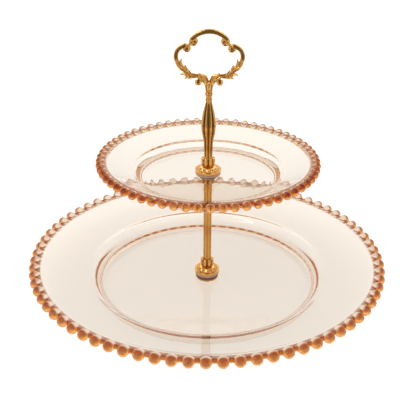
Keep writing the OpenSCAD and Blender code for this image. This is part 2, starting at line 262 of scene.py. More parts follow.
@dataclass(frozen=True)
class PressedGlass:
    """Champagne pressed glass, with painted amber shade on the outward side of its beads and painted
    light and shade within it.
    """

    name: str = "champagne_pressed_glass"
    roughness: float = 0.001
    ior: float = 1.5
    surface: Colour = (0.90, 0.85, 0.79)
    bead_surface: Colour = (0.80, 0.69, 0.56)
    # Painted light and painted shade of the amber beads, and how much painted amber the gaps and
    # outward faces take.
    painted_bead_light: Colour = (0.95, 0.30, 0.02)
    painted_bead_shade: Colour = (0.22, 0.010, 0.0)
    painted_gap_share: float = 0.8
    painted_amber_share: float = 0.98
    tint: Colour = (0.86, 0.60, 0.30)
    tint_density: float = 22.0
    wave_scale: float = 55.0
    wave_depth: float = 0.00025

    def make(self) -> bpy.types.Material:
        """Builds the finish: glass shell, faint mould waviness, painted amber shade with painted light
        and shade on the beads, tinted depth.
        """
        material, net = new_net(self.name)
        waves = net.noise(self.wave_scale, 2.0)
        smears = net.noise(self.wave_scale * 3, 4.0)
        relief = net.bump(waves, 0.25, self.wave_depth)
        rough = smears * 0.002 + self.roughness
        mark = net.mark()
        edge = net.add("ShaderNodeMath", {"operation": "MINIMUM"}, {0: mark * 2, 1: 1.0})
        gap = net.add("ShaderNodeMath", {"operation": "MAXIMUM"}, {0: mark * 2 - 1, 1: 0.0})
        clear = net.add(
            "ShaderNodeBsdfPrincipled",
            None,
            {
                "Base Color": net.blend(edge, (*self.surface, 1.0), (*self.bead_surface, 1.0)),
                "Roughness": rough,
                "IOR": self.ior,
                "Transmission Weight": 1.0,
                "Normal": relief,
            },
        )
        # Painted light and shade on the amber beads: lighter towards their edges and under side, darker
        # on their tops, with a random drift.
        rim = net.add("ShaderNodeLayerWeight", None, {"Blend": 0.35}, "Facing")
        under = net.add("ShaderNodeTexCoord", output="Normal")
        tilt = net.add("ShaderNodeSeparateXYZ", None, {0: under}, 2)
        pale = net.smooth(rim * 0.8 + net.noise(500.0, 3.0) * 0.5 - tilt * 0.8, -0.35, 0.75)
        painted_amber_bsdf = net.add(
            "ShaderNodeBsdfPrincipled",
            None,
            {
                "Base Color": net.blend(pale, (*self.painted_bead_shade, 1.0), (*self.painted_bead_light, 1.0)),
                "Roughness": rough,
                "IOR": self.ior,
                "Transmission Weight": 0.80,
                "Normal": relief,
            },
        )
        # Painted amber shade on the beads' outward faces and in the gaps between them, standing in for
        # the deeper colour light takes on in thick glass.
        cover = net.add(
            "ShaderNodeMath",
            {"operation": "MAXIMUM"},
            {0: self._outward(net) * self.painted_amber_share, 1: gap * self.painted_gap_share},
        )
        share = edge * cover
        shell = net.add("ShaderNodeMixShader", None, {0: share, 1: clear, 2: painted_amber_bsdf})
        depth = net.add(
            "ShaderNodeVolumeAbsorption",
            None,
            {"Color": (*self.tint, 1.0), "Density": self.tint_density},
        )
        net.add("ShaderNodeOutputMaterial", None, {"Surface": shell, "Volume": depth})
        return material

    @staticmethod
    def _outward(net: Net) -> Wire:
        """Mask of the outside of the glass where it faces away from the axis, where the painted amber
        shade lies.
        """
        place = net.add("ShaderNodeTexCoord", output="Object")
        normal = net.add("ShaderNodeTexCoord", output="Normal")
        flat = net.add("ShaderNodeVectorMath", {"operation": "MULTIPLY"}, {0: place, 1: (1, 1, 0)})
        away = net.add("ShaderNodeVectorMath", {"operation": "NORMALIZE"}, {0: flat})
        turn = net.add(
            "ShaderNodeVectorMath", {"operation": "DOT_PRODUCT"}, {0: away, 1: normal}, "Value"
        )
        mask = net.smooth(turn, -0.35, 0.25)
        return mask * (1 - net.add("ShaderNodeNewGeometry", output="Backfacing"))


@dataclass(frozen=True)
class GoldPlating:
    """Polished gold plating on a cast part, a little duller in its hollows, with painted shade
    darkening them.
    """

    name: str = "gold_plated_casting"
    bright: Colour = (0.85, 0.48, 0.15)
    deep: Colour = (0.62, 0.30, 0.075)
    # Colour of the painted shade in the hollows and flutes.
    painted_hollow_shade: Colour = (0.13, 0.045, 0.006)
    roughness: float = 0.07
    grain_scale: float = 900.0

    def make(self) -> bpy.types.Material:
        """Builds the finish: tone drift, painted shade in the hollows, fine cast grain."""
        material, net = new_net(self.name)
        drift = net.noise(140.0, 3.0)
        tone = net.blend(drift, (*self.deep, 1.0), (*self.bright, 1.0))
        point = net.add("ShaderNodeNewGeometry", output="Pointiness")
        cavity = net.add(
            "ShaderNodeValToRGB",
            {"stops": ((0.42, (1.0, 1.0, 1.0)), (0.495, (0.0, 0.0, 0.0)))},
            {0: point},
        )
        # Painted shade: hollows found by pointiness and by the lathe's mark are darkened.
        painted_shade_share = net.add("ShaderNodeMath", {"operation": "MAXIMUM"}, {0: cavity * 0.8, 1: net.mark()})
        colour = net.blend(painted_shade_share, tone, (*self.painted_hollow_shade, 1.0))
        grain = net.noise(self.grain_scale, 4.0)
        rough = drift * 0.08 + cavity * 0.2 + self.roughness
        shell = net.add(
            "ShaderNodeBsdfPrincipled",
            None,
            {
                "Base Color": colour,
                "Metallic": 1.0,
                "Roughness": rough,
                "Normal": net.bump(grain, 0.12, 0.00008),
            },
        )
        net.add("ShaderNodeOutputMaterial", None, {"Surface": shell})
        return material


@dataclass(frozen=True)
class ScrewSteel:
    """Bright zinc-plated steel of the screws."""

    name: str = "bright_screw_steel"
    light: Colour = (0.78, 0.77, 0.74)
    dark: Colour = (0.45, 0.44, 0.42)
    roughness: float = 0.24

    def make(self) -> bpy.types.Material:
        """Builds the finish: mottled plating with fine marks."""
        material, net = new_net(self.name)
        mottle = net.noise(420.0, 5.0)
        marks = net.noise(2600.0, 2.0)
        shell = net.add(
            "ShaderNodeBsdfPrincipled",
            None,
            {
                "Base Color": net.blend(mottle, (*self.dark, 1.0), (*self.light, 1.0)),
                "Metallic": 1.0,
                "Roughness": mottle * 0.18 + self.roughness,
                "Normal": net.bump(marks, 0.2, 0.00005),
            },
        )
        net.add("ShaderNodeOutputMaterial", None, {"Surface": shell})
        return material


@dataclass(frozen=True)
class SoftVinyl:
    """Milky, slightly pink vinyl of the washers."""

    name: str = "milky_soft_vinyl"
    pale: Colour = (0.62, 0.44, 0.34)
    warm: Colour = (0.48, 0.30, 0.22)
    roughness: float = 0.34

    def make(self) -> bpy.types.Material:
        """Builds the finish: cloudy tone, soft light spread inside, moulded texture."""
        material, net = new_net(self.name)
        cloud = net.noise(260.0, 3.0)
        fine = net.noise(1800.0, 3.0)
        shell = net.add(
            "ShaderNodeBsdfPrincipled",
            None,
            {
                "Base Color": net.blend(cloud, (*self.warm, 1.0), (*self.pale, 1.0)),
                "Roughness": cloud * 0.15 + self.roughness,
                "IOR": 1.46,
                "Transmission Weight": 0.08,
                "Subsurface Weight": 0.25,
                "Subsurface Scale": 0.002,
                "Normal": net.bump(fine, 0.15, 0.00005),
            },
        )
        net.add("ShaderNodeOutputMaterial", None, {"Surface": shell})
        return material


@dataclass
class Finishes:
    """One material for each finish, made once and shared."""

    glass: bpy.types.Material
    gold: bpy.types.Material
    steel: bpy.types.Material
    vinyl: bpy.types.Material

    @classmethod
    def make(cls) -> "Finishes":
        """Makes all four materials."""
        return cls(
            PressedGlass().make(), GoldPlating().make(), ScrewSteel().make(), SoftVinyl().make()
        )


# ---------------------------------------------------------------- modelling tools


def clear_selection() -> None:
    """Leaves edit mode and deselects every object."""
    if bpy.context.object and bpy.context.object.mode != "OBJECT":
        bpy.ops.object.mode_set(mode="OBJECT")
    bpy.ops.object.select_all(action="DESELECT")


def pick_only(obj: bpy.types.Object) -> None:
    """Makes one object the only selected and active one."""
    clear_selection()
    obj.select_set(True)
    bpy.context.view_layer.objects.active = obj


def finish_mesh(obj: bpy.types.Object, crease: float) -> None:
    """Merges doubles, turns every face outward and smooths below the crease angle.

    Args:
        obj: The object, in edit mode or not.
        crease: Angle in degrees past which an edge stays sharp.
    """
    pick_only(obj)
    bpy.ops.object.mode_set(mode="EDIT")
    bpy.ops.mesh.select_all(action="SELECT")
    bpy.ops.mesh.remove_doubles(threshold=WELD)
    bpy.ops.mesh.normals_make_consistent(inside=False)
    bpy.ops.object.mode_set(mode="OBJECT")
    bpy.ops.object.shade_smooth_by_angle(angle=math.radians(crease))


def close_ends(obj: bpy.types.Object) -> None:
    """Fills every open end of a mesh."""
    pick_only(obj)
    bpy.ops.object.mode_set(mode="EDIT")
    bpy.ops.mesh.select_all(action="SELECT")
    bpy.ops.mesh.fill_holes(sides=0)
    bpy.ops.object.mode_set(mode="OBJECT")


def apply_modifier(obj: bpy.types.Object, kind: str, **settings: object) -> None:
    """Adds a modifier, sets it and applies it.

    Args:
        obj: The object.
        kind: The modifier's type.
        **settings: The modifier's attributes.
    """
    pick_only(obj)
    modifier = obj.modifiers.new(kind.lower(), kind)
    for name, value in settings.items():
        setattr(modifier, name, value)
    bpy.ops.object.modifier_apply(modifier=modifier.name)


def settle(
    obj: bpy.types.Object,
    name: str,
    material: bpy.types.Material,
    body: Body,
    nodes: Sequence[str],
) -> bpy.types.Object:
    """Names a finished piece, dresses it and ties it to the frame.

    Args:
        obj: The finished mesh object, in place.
        name: The piece's name.
        material: Its finish.
        body: The moving group that it rides on.
        nodes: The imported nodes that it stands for.

    Returns:
        The same object.
    """
    obj.name = name
    obj.data.name = name
    obj.data.materials.clear()
    obj.data.materials.append(material)
    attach(obj, body.value)
    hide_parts(*nodes)
    LOG.info("%s: %d faces, rides on %s", name, len(obj.data.polygons), body.value)
    return obj


class Lathe:
    """Turns an outline about the upright axis, one ring of points after another."""

    def __init__(self, points: int, first_angle: float = FRONT) -> None:
        """Sets how many points a ring has and where its first one lies."""
        self.points = points
        self.first_angle = first_angle
        self.radius = 0.0
        self.height = 0.0
        self.start: Point = (0.0, 0.0)
        self.place: Callable[[int], Point] = self._even_place
        self.obj: bpy.types.Object | None = None

    def begin(self, radius: float, height: float) -> None:
        """Adds the first ring and opens it for editing.

        Args:
            radius: The ring's radius.
            height: The ring's height.
        """
        clear_selection()
        bpy.ops.mesh.primitive_circle_add(
            vertices=self.points,
            radius=radius,
            fill_type="NOTHING",
            location=(0, 0, height),
            rotation=(0, 0, self.first_angle - math.pi / 2),
        )
        self.obj = bpy.context.active_object
        bpy.ops.object.transform_apply(location=True, rotation=True, scale=True)
        bpy.ops.object.mode_set(mode="EDIT")
        bpy.ops.mesh.select_all(action="SELECT")
        self.radius, self.height = radius, height
        self.start = (radius, height)
        mesh = bmesh.from_edit_mesh(self.obj.data)
        layer = mesh.verts.layers.int.new("column")
        mesh.verts.layers.float.new("mark")
        for vert in mesh.verts:
            turn = (math.atan2(vert.co.y, vert.co.x) - self.first_angle) / FULL_TURN
            vert[layer] = round(turn * self.points) % self.points

    def ring(self, radius: float, height: float) -> None:
        """Extrudes the open ring to a new radius and height."""
        bpy.ops.mesh.extrude_region()
        self._move_to(radius, height)

    def _move_to(self, radius: float, height: float) -> None:
        """Scales and lifts the selected ring."""
        share = radius / self.radius
        bpy.ops.transform.resize(value=(share, share, 1), center_override=(0, 0, 0))
        bpy.ops.transform.translate(value=(0, 0, height - self.height))
        self.radius, self.height = radius, height

    def rings(self, outline: Iterable[Point]) -> None:
        """Extrudes through a whole outline of (radius, height) points."""
        for radius, height in outline:
            self.ring(radius, height)

    def shaped_ring(self, place: Callable[[int], Point], pitch: int) -> None:
        """Extrudes a ring whose radius and height change round it.

        Args:
            place: Gives (radius, height) for a column within the pattern, 0 to pitch / 2.
            pitch: Columns in one repeat of the pattern, which is even on both sides of column 0.
        """
        bpy.ops.mesh.extrude_region()
        for step in range(pitch // 2 + 1):
            old_radius, old_height = self.place(step)
            radius, height = place(step)
            share = radius / old_radius
            self._pick_columns(step, pitch)
            bpy.ops.transform.resize(value=(share, share, 1), center_override=(0, 0, 0))
            bpy.ops.transform.translate(value=(0, 0, height - old_height))
        self._pick_ring(BEAD_MARK)
        self.place = place

    def level(self, radius: float, height: float, pitch: int) -> None:
        """Extrudes from a shaped ring back to an even one."""
        self.shaped_ring(lambda _: (radius, height), pitch)
        self._pick_ring(0.0)
        self.radius, self.height = radius, height
        self.place = self._even_place

    def _even_place(self, _: int) -> Point:
        """Radius and height of an even ring, the same at every column."""
        return self.radius, self.height

    def _pick_ring(self, mark: float) -> None:
        """Selects the newest ring again and marks it."""
        mesh = bmesh.from_edit_mesh(self.obj.data)
        mesh.verts.ensure_lookup_table()
        layer = mesh.verts.layers.float["mark"]
        for vert in mesh.verts[-self.points :]:
            vert.select = True
            vert[layer] = mark
        mesh.select_flush(True)

    def _pick_columns(self, step: int, pitch: int) -> None:
        """Keeps only the newest ring's points that lie at one step of the pattern."""
        mesh = bmesh.from_edit_mesh(self.obj.data)
        layer = mesh.verts.layers.int["column"]
        mesh.verts.ensure_lookup_table()
        for vert in mesh.verts[-self.points :]:
            place = vert[layer] % pitch
            vert.select = min(place, pitch - place) == step
        mesh.select_flush_mode()

    def press(
        self,
        pitch: int,
        share: Callable[[int], float],
        wanted: Callable[[Vector], bool],
        mark: float = 1.0,
    ) -> None:
        """Draws columns of points in towards the axis, as a flute or a lobe.

        Args:
            pitch: Columns in one repeat of the pattern.
            share: Radius kept at a column within the pattern, 0 to pitch / 2.
            wanted: Says which points take part, by their place.
            mark: How strongly the deepest points are marked, which sets how dark the gold's painted
                shade is there.
        """
        deepest = min(share(step) for step in range(pitch // 2 + 1))
        for step in range(pitch // 2 + 1):
            if share(step) == 1.0:
                continue
            kept = share(step)
            self._pick_by_place(step, pitch, wanted, mark * (1 - kept) / (1 - deepest))
            bpy.ops.transform.resize(value=(kept, kept, 1), center_override=(0, 0, 0))

    def lift(self, pitch: int, step: int, rise: float, wanted: Callable[[Vector], bool]) -> None:
        """Raises columns of points, as a ridge on a flange.

        Args:
            pitch: Columns in one repeat of the pattern.
            step: The column that rises.
            rise: How far.
            wanted: Says which points take part, by their place.
        """
        self._pick_by_place(step, pitch, wanted, 0.0)
        bpy.ops.transform.translate(value=(0, 0, rise))

    def mark_columns(
        self, pitch: int, first: int, wanted: Callable[[Vector], bool], mark: float
    ) -> None:
        """Marks the columns from one step of the pattern to its middle.

        Args:
            pitch: Columns in one repeat of the pattern.
            first: First step that is marked.
            wanted: Says which points take part, by their place.
            mark: The mark; the glass puts painted amber shade where it is marked.
        """
        for step in range(first, pitch // 2 + 1):
            self._pick_by_place(step, pitch, wanted, mark)

    def _pick_by_place(
        self, step: int, pitch: int, wanted: Callable[[Vector], bool], mark: float
    ) -> None:
        """Selects and marks the points at one step of the pattern that are also wanted."""
        bpy.ops.mesh.select_all(action="DESELECT")
        mesh = bmesh.from_edit_mesh(self.obj.data)
        layer = mesh.verts.layers.int["column"]
        marks = mesh.verts.layers.float["mark"]
        for vert in mesh.verts:
            place = vert[layer] % pitch
            if min(place, pitch - place) == step and wanted(vert.co):
                vert.select = True
                vert[marks] = mark
        mesh.select_flush_mode()

    def close_loop(self) -> None:
        """Joins the last ring to the first."""
        self.ring(*self.start)

    def done(self, crease: float) -> bpy.types.Object:
        """Closes the edit and hands back the finished mesh."""
        finish_mesh(self.obj, crease)
        return self.obj


def arc(
    centre: Point, radius: float, first: float, last: float, steps: int
) -> list[Point]:
    """Points along an arc of an outline.

    Args:
        centre: The arc's centre.
        radius: Its radius.
        first: First angle in degrees.
        last: Last angle in degrees.
        steps: Number of steps.

    Returns:
        The points, both ends included.
    """
    angles = [math.radians(first + (last - first) * i / steps) for i in range(steps + 1)]
    return [(centre[0] + radius * math.cos(a), centre[1] + radius * math.sin(a)) for a in angles]


def wave(share: float) -> float:
    """Smooth S-curve from 0 to 1."""
    return (1 - math.cos(math.pi * share)) / 2


# ---------------------------------------------------------------- glass plates


@dataclass
class BeadedPlate:
    """A round pressed-glass plate: flat well, curved wall, sloping rim and a ring of beads."""

    name: str
    node: str
    body: Body
    floor_r: float
    well_r: float
    wall_h: float
    circle_r: float
    bead_r: float
    beads: int
    bead_h: float
    foot_h: float
    bead_shift: float
    floor_z: float = 0.0
    glass_t: float = 4.5 * MM
    hole_r: float = 4.2 * MM
    foot_flat_w: float = 2.4 * MM
    edge_inset: float = 2.6 * MM
    rim_inset: float = 5.9 * MM
    first_ray: float = 150.0
    columns: int = 16
    wall_steps: int = 14
    rim_steps: int = 8
    section_steps: int = 18

    def __post_init__(self) -> None:
        """Reads the height of the plate's floor from the frame."""
        low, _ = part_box(self.node)
        self.floor_z = low.z + self.foot_h + self.glass_t

    def build(self, finishes: Finishes) -> bpy.types.Object:
        """Turns the plate in one closed shell and dresses it.

        Args:
            finishes: The shared materials.

        Returns:
            The plate.
        """
        pitch_angle = FULL_TURN / self.beads
        lathe = Lathe(self.beads * self.columns, FRONT + self.bead_shift * pitch_angle)
        edge = 0.5 * MM
        lathe.begin(self.hole_r, self.floor_z - edge)
        lathe.ring(self.hole_r + edge, self.floor_z)
        lathe.ring(self.hole_r + edge * 1.5, self.floor_z)
        lathe.rings((self.floor_r * share, self.floor_z) for share in (0.25, 0.5, 0.8, 0.95))
        top = self._top_outline()
        lathe.rings(top)
        for i in range(self.section_steps + 1):
            angle = math.radians(self.first_ray * (1 - 2 * i / self.section_steps))
            lathe.shaped_ring(lambda step, a=angle: self._section(step, a), self.columns)
        under = [(r, z - self.glass_t) for r, z in reversed(top)]
        lathe.level(*under[0], self.columns)
        lathe.rings(self._with_foot(under[1:]))
        lathe.rings(
            (self.floor_r * share, self.floor_z - self.glass_t) for share in (0.8, 0.5, 0.25)
        )
        lathe.ring(self.hole_r + edge * 1.5, self.floor_z - self.glass_t)
        lathe.ring(self.hole_r + edge, self.floor_z - self.glass_t)
        lathe.ring(self.hole_r, self.floor_z - self.glass_t + edge)
        lathe.close_loop()
        spacing = self.circle_r * pitch_angle / self.columns
        edge_r = self.circle_r - self.bead_r

        def on_edge(place: Vector) -> bool:
            """True in the beaded edge."""
            return place.xy.length > edge_r

        # The gaps between the beads are marked to carry the painted amber shade.
        lathe.mark_columns(self.columns, round(self.bead_r / spacing), on_edge, GAP_MARK)
        obj = lathe.done(50)
        return settle(obj, self.name, finishes.glass, self.body, [self.node])

    def _top_outline(self) -> list[Point]:
        """Points of the top face from the foot of the wall to just inside the beads."""
        rim_r = self.circle_r - self.rim_inset
        rim_h = self.bead_h + self.glass_t / 2
        points: list[Point] = []
        for i in range(self.wall_steps + 1):
            share = i / self.wall_steps
            radius = self.floor_r + (self.well_r - self.floor_r) * share
            points.append((radius, self.floor_z + self.wall_h * wave(share)))
        for i in range(1, self.rim_steps + 1):
            share = i / self.rim_steps
            radius = self.well_r + (rim_r - self.well_r) * share
            height = self.wall_h + (rim_h - self.wall_h) * share**1.15
            points.append((radius, self.floor_z + height))
        return points

    def _section(self, step: int, angle: float) -> Point:
        """One point of the beaded edge, where a ball and the rim's rounded end are one.

        Args:
            step: Columns away from the nearest bead's middle.
            angle: Direction from a point inside the edge, 0 pointing outward.

        Returns:
            The point's radius and height.
        """
        along = self.circle_r * FULL_TURN / (self.beads * self.columns) * step
        half = self.glass_t / 2
        eye = self.edge_inset - 1.1 * MM
        reach = self._ray(angle, eye - self.edge_inset, half)
        if reach * math.cos(angle) < eye - self.edge_inset:
            reach = half / abs(math.sin(angle))
        if along < self.bead_r:
            ball = math.sqrt(self.bead_r**2 - along**2)
            if ball > eye:
                reach = max(reach, self._ray(angle, eye, ball))
        centre_z = self.floor_z + self.bead_h
        return self.circle_r - eye + reach * math.cos(angle), centre_z + reach * math.sin(angle)

    @staticmethod
    def _ray(angle: float, offset: float, radius: float) -> float:
        """Distance along a ray to a circle whose centre lies a little way outward."""
        across = offset * math.cos(angle)
        return across + math.sqrt(across**2 - offset**2 + radius**2)

    def _with_foot(self, under: list[Point]) -> list[Point]:
        """Adds the foot ring to the under side.

        Args:
            under: The under side from the rim inward to the floor.

        Returns:
            The same line with the foot ring in it.
        """
        middle = self.floor_r + (self.well_r - self.floor_r) * 0.3
        floor = self.floor_z - self.glass_t
        outer = middle + self.foot_flat_w * 1.25
        inner = middle - self.foot_flat_w
        foot = [
            (outer, floor - self.foot_h * 0.05),
            (middle + self.foot_flat_w * 0.62, floor - self.foot_h * 0.82),
            (middle + self.foot_flat_w * 0.5, floor - self.foot_h * 0.95),
            (middle + self.foot_flat_w * 0.35, floor - self.foot_h),
            (middle - self.foot_flat_w * 0.35, floor - self.foot_h),
            (middle - self.foot_flat_w * 0.5, floor - self.foot_h * 0.95),
            (middle - self.foot_flat_w * 0.62, floor - self.foot_h * 0.82),
            (inner, floor - self.foot_h * 0.05),
            (inner - self.foot_flat_w * 0.4, floor),
        ]
        outside = [point for point in under if point[0] > outer + 0.3 * MM]
        return outside + foot


# ---------------------------------------------------------------- soft washers


@dataclass
class SoftWasher:
    """A soft round washer with rolled edges."""

    node: str
    body: Body
    hole_r: float = 2.4 * MM
    points: int = 96

    def build(self, finishes: Finishes) -> bpy.types.Object:
        """Turns the washer and dresses it."""
        low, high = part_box(self.node)
        radius, half = high.x, (high.z - low.z) / 2
        middle = low.z + half
        lathe = Lathe(self.points)
        lathe.begin(self.hole_r, middle)
        lathe.ring(self.hole_r, middle + half * 0.7)
        lathe.ring(self.hole_r + half * 0.3, high.z)
        lathe.rings(arc((radius - half, middle), half, 90, -90, 8))
        lathe.ring(self.hole_r + half * 0.3, low.z)
        lathe.ring(self.hole_r, middle - half * 0.7)
        lathe.close_loop()
        obj = lathe.done(50)
        return settle(obj, f"{self.node}_ring", finishes.vinyl, self.body, [self.node])


# ---------------------------------------------------------------- column castings


@dataclass
class Column:
    """The castings of the column: base washer, flanges, lobed collars, fluted post, baluster."""

    flutes: int = 8
    columns: int = 16
    screw_r: float = 2.05 * MM
    stud_r: float = 1.55 * MM
    flange_rim_h: float = 2.6 * MM
    collar_r: float = 6.4 * MM
    stem_r: float = 3.8 * MM
    belly_r: float = 6.65 * MM
    neck_r: float = 2.55 * MM
    baluster_h: float = 52 * MM
    post_r: float = 3.9 * MM

    def build(self, finishes: Finishes) -> None:
        """Makes every casting of the column.

        Args:
            finishes: The shared materials.
        """
        self._base_washer(finishes)
        self._flange("lower_flange", finishes)
        self._flange("upper_flange", finishes)
        self._collar("lower_collar", finishes)
        self._collar("upper_collar", finishes)
        self._collar("under_collar", finishes)
        self._post(finishes)
        self._baluster(finishes)
        self._captive_ring(finishes)

    def _dress(
        self, obj: bpy.types.Object, node: str, finishes: Finishes, body: Body = Body.COLUMN
    ) -> None:
        """Gives a casting its gold and its place in the frame."""
        settle(obj, f"{node}_casting", finishes.gold, body, [node])

    def _base_washer(self, finishes: Finishes) -> None:
        """Turns the washer under the lower plate."""
        low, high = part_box("base_washer")
        edge = (high.z - low.z) * 0.35
        lathe = Lathe(96)
        lathe.begin(self.screw_r, low.z)
        lathe.ring(self.screw_r, high.z)
        lathe.ring(high.x - edge * 0.3, high.z)
        lathe.rings(arc((high.x - edge, high.z - edge), edge, 60, 0, 3))
        lathe.rings(arc((high.x - edge, low.z + edge), edge, 0, -90, 5)[1:])
        lathe.close_loop()
        self._dress(lathe.done(40), "base_washer", finishes)

    def _flange(self, node: str, finishes: Finishes) -> None:
        """Turns a dished flange and raises its small radial ridges."""
        low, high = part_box(node)
        rim_r, base = high.x, low.z
        rim_z, top = base + self.flange_rim_h, high.z
        dish_r = rim_r - 1.4 * MM
        seat_r = self.collar_r + 0.6 * MM
        per_ridge = 8
        lathe = Lathe(self.flutes * 2 * per_ridge)
        lathe.begin(self.screw_r, base)
        lathe.ring(self.screw_r, top)
        lathe.ring(seat_r - 1.0 * MM, top)
        lathe.ring(seat_r - 0.3 * MM, top - 0.5 * MM)
        valley = [(seat_r + 0.3 * MM, rim_z + 1.0 * MM), (seat_r + 1.2 * MM, rim_z)]
        lathe.rings(valley)
        lathe.ring((seat_r + dish_r) / 2, rim_z - 0.5 * MM)
        lathe.ring(dish_r - 0.7 * MM, rim_z - 0.6 * MM)
        lathe.ring(dish_r, rim_z - 0.2 * MM)
        lathe.rings(arc((rim_r - 0.6 * MM, rim_z - 0.6 * MM), 0.6 * MM, 100, 0, 6))
        lathe.rings(arc((rim_r - 0.8 * MM, base + 0.8 * MM), 0.8 * MM, 0, -90, 6))
        lathe.close_loop()
        ridge_in, ridge_out = seat_r - 0.1 * MM, dish_r - 0.4 * MM

        def on_ridge(place: Vector) -> bool:
            """True between the seat and the rim, on the top side."""
            return ridge_in < place.xy.length < ridge_out and place.z > base + 1 * MM

        lathe.lift(per_ridge, 0, 0.55 * MM, on_ridge)
        lathe.lift(per_ridge, 1, 0.25 * MM, on_ridge)
        self._dress(lathe.done(40), node, finishes)

    def _collar(self, node: str, finishes: Finishes) -> None:
        """Turns a collar and draws in the hollows between its upright lobes."""
        low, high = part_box(node)
        height = high.z - low.z
        base = low.z
        outer = self.collar_r
        lathe = Lathe(self.flutes * self.columns, FRONT + math.pi / self.flutes)
        lathe.begin(self.screw_r, base)
        lathe.ring(outer * 0.66, base)
        for share, radius in (
            (0.05, 0.74), (0.14, 0.87), (0.25, 0.95), (0.38, 0.99), (0.55, 1.0), (0.72, 1.0),
            (0.84, 0.985), (0.92, 0.94), (0.97, 0.85), (0.99, 0.76),
        ):  # fmt: skip
            lathe.ring(outer * radius, base + height * share)
        lathe.ring(outer * 0.66, high.z)
        lathe.ring(self.screw_r, high.z)
        lathe.close_loop()

        def on_lobe(place: Vector) -> bool:
            """True on the outside of the collar."""
            return place.xy.length > outer * 0.70

        half = self.columns // 2
        lathe.press(self.columns, lambda step: 1.0 - 0.24 * (step / half) ** 2.6, on_lobe)
        self._dress(lathe.done(40), node, finishes)

    def _post(self, finishes: Finishes) -> None:
        """Turns the lower post and presses its straight flutes."""
        low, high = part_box("lower_post")
        base, top, outer = low.z, high.z, self.post_r
        lathe = Lathe(self.flutes * self.columns)
        lathe.begin(self.screw_r, base)
        lathe.ring(outer - 0.4 * MM, base)
        lathe.rings(arc((outer - 0.3 * MM, base + 0.3 * MM), 0.3 * MM, -60, 0, 3))
        lathe.rings((outer, base + (top - base) * share) for share in (0.03, 0.2, 0.4, 0.6, 0.8, 0.97))
        lathe.rings(arc((outer - 0.3 * MM, top - 0.3 * MM), 0.3 * MM, 0, 60, 3))
        lathe.ring(outer - 0.4 * MM, top)
        lathe.ring(self.screw_r, top)
        lathe.close_loop()
        # The flutes' mark of 0.4 keeps their painted shade light.
        lathe.press(
            self.columns, self._flute(0.14), lambda place: place.xy.length > outer * 0.95, 0.4
        )
        self._dress(lathe.done(35), "lower_post", finishes)

    def _flute(self, depth: float) -> Callable[[int], float]:
        """Share of the radius kept across one flute whose middle is column 0."""
        half = self.columns * 0.40
        return lambda step: 1.0 - depth * max(0.0, 1.0 - (step / half) ** 2) ** 0.8

    def _outline(self, share: float) -> float:
        """Radius of the baluster at a share of its height."""
        stem_share, belly_share = 0.24, 0.57
        stem_top = self.stem_r + 0.45 * MM
        if share < stem_share:
            return self.stem_r + (stem_top - self.stem_r) * share / stem_share
        if share < belly_share:
            climb = (share - stem_share) / (belly_share - stem_share)
            return stem_top + (self.belly_r - stem_top) * wave(climb)
        fall = (share - belly_share) / (1 - belly_share)
        return self.neck_r + (self.belly_r - self.neck_r) * math.cos(math.pi / 2 * fall)

    def _baluster(self, finishes: Finishes) -> None:
        """Turns the baluster with its neck beads and presses its long flutes."""
        low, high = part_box("upper_post")
        base, tall = low.z, self.baluster_h
        steps = 30
        lathe = Lathe(self.flutes * self.columns)
        lathe.begin(self.screw_r, base)
        lathe.rings((self._outline(i / steps), base + tall * i / steps) for i in range(steps + 1))
        neck, bead = self.neck_r, self.neck_r + 0.6 * MM
        bead_h = 3.2 * MM
        lathe.rings(
            (neck + (bead - neck) * math.sin(math.pi * i / 8) ** 0.7, base + tall + bead_h * i / 8)
            for i in range(1, 8)
        )
        lathe.ring(neck + 0.2 * MM, base + tall + bead_h)
        lathe.ring(neck + 0.2 * MM, high.z - 0.9 * MM)
        lathe.ring(bead, high.z - 0.2 * MM)
        lathe.ring(bead - 0.1 * MM, high.z)
        lathe.ring(self.stud_r, high.z)
        lathe.ring(self.stud_r, high.z - 10 * MM)
        lathe.close_loop()
        first, last = base + 0.3 * MM, base + tall * 0.985

        def on_body(place: Vector) -> bool:
            """True on the outside, between the collar and the neck beads."""
            return first < place.z < last and place.xy.length > self.neck_r * 0.98

        lathe.press(self.columns, self._flute(0.19), on_body)
        self._dress(lathe.done(38), "upper_post", finishes)

    def _captive_ring(self, finishes: Finishes) -> None:
        """Turns the rounded ring between the baluster and the handle."""
        low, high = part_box("captive_ring")
        half = (high.z - low.z) / 2
        lathe = Lathe(64)
        lathe.begin(self.stud_r, low.z)
        lathe.rings(arc((high.x - half * 0.9, low.z + half), half * 0.9, -80, 80, 12))
        lathe.ring(self.stud_r, high.z)
        lathe.close_loop()
        self._dress(lathe.done(45), "captive_ring", finishes, Body.CAPTIVE_RING)


# ---------------------------------------------------------------- handle


class Turn(Enum):
    """Which way a rod bends, seen from the front."""

    LEFT = 1
    RIGHT = -1


Bend = tuple[float, float, float, Turn]


